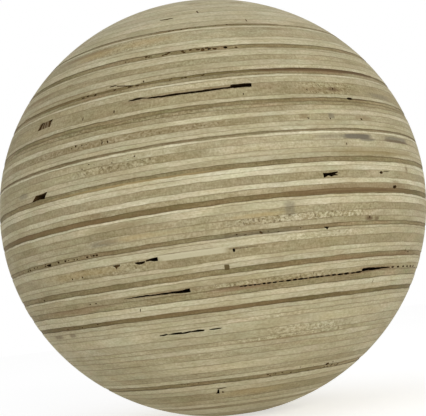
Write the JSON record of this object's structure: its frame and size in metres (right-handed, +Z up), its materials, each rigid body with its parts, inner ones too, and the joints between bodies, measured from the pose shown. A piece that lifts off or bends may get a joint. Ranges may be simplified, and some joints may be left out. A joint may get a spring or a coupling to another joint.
{
  "type": "turned plywood ball",
  "caption": "Solid ball turned from a glued stack of plywood, its veneer edges showing as level bands with open core gaps.",
  "frame": {"origin": "centre of the ball", "axes": "+Z up through the stack of boards, square to their faces; -Y towards the side with the widest open gaps; +X to the right of it"},
  "size_m": [0.1374, 0.1374, 0.1342],
  "materials": {
    "plywood_edges": "raw sanded end and edge grain in pale, tan and brown bands, no varnish"
  },
  "bodies": {
    "root": {"ball": "plywood_edges"}
  },
  "joints": []
}
